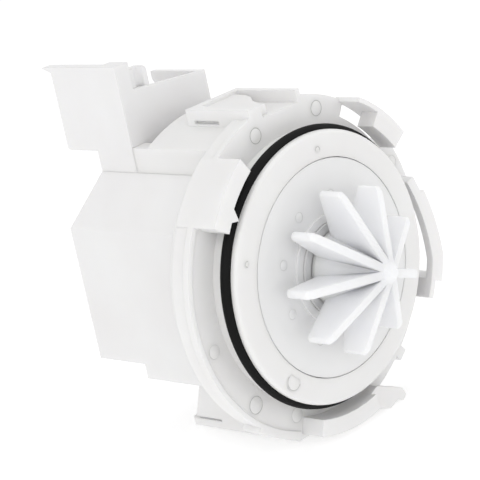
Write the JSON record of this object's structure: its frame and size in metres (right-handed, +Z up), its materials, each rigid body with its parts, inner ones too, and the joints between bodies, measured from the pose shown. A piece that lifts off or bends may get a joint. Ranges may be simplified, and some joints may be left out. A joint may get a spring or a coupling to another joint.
{
  "type": "dishwasher drain pump",
  "caption": "Drain pump with a sealed round collar, bayonet lugs, open bladed impeller and a boxed motor with a plug housing on top.",
  "frame": {"origin": "on the pump axis, in the plane of the flange's front face", "axes": "Y along the pump axis with the impeller toward -Y and the motor toward +Y, +Z up through the plug housing"},
  "size_m": [0.0895, 0.0947, 0.1061],
  "materials": {
    "white_body": "satin moulded plastic, slightly off-white",
    "white_plate": "smooth satin moulded plastic",
    "white_box": "fine matt moulded plastic",
    "grey_cap": "smooth grey plastic",
    "black_seal": "soft moulded rubber with a faint sheen",
    "soft_mount": "soft rubber",
    "bearing": "dense carbon-filled bush",
    "laminations": "stacked electrical steel sheet",
    "bobbin": "glass-filled black plastic",
    "copper_wire": "enamelled copper wire",
    "protector": "small black case",
    "tinned_brass": "tinned brass sheet",
    "steel_shaft": "ground stainless steel",
    "magnet": "sintered ferrite",
    "impeller_plastic": "translucent bluish white plastic"
  },
  "bodies": {
    "housing": {"pump_body": "white_body", "face_plate": "white_plate", "bearing_cap": "grey_cap", "seal_ring": "black_seal", "rotor_can": "white_plate", "can_seal_ring": "black_seal", "front_bearing": "bearing", "front_bearing_mount": "soft_mount", "rear_bearing": "bearing", "rear_bearing_mount": "soft_mount", "stator_core": "laminations", "coil_bobbin_left": "bobbin", "coil_bobbin_right": "bobbin", "winding_left": "copper_wire", "winding_right": "copper_wire", "thermal_protector": "protector", "winding_leads": "copper_wire", "spade_terminals": "tinned_brass", "motor_housing": "white_box", "connector_shroud": "white_box"},
    "rotor": {"rotor_shaft": "steel_shaft", "rotor_magnet": "magnet", "rotor_carrier": "bobbin", "front_thrust_washer": "steel_shaft", "rear_thrust_washer": "steel_shaft", "drive_dog": "bobbin", "dog_buffer": "soft_mount"},
    "impeller": {"impeller": "impeller_plastic", "impeller_hub_cap": "impeller_plastic"}
  },
  "joints": [
    {"name": "rotor_spin", "type": "hinge", "parent": "housing", "child": "rotor", "pos_m": [0, 0, 0], "axis": [0, -1, 0], "continuous": true},
    {"name": "impeller_lost_motion", "type": "hinge", "parent": "rotor", "child": "impeller", "pos_m": [0, 0, 0], "axis": [0, -1, 0], "range_deg": [-117, 117]}
  ]
}
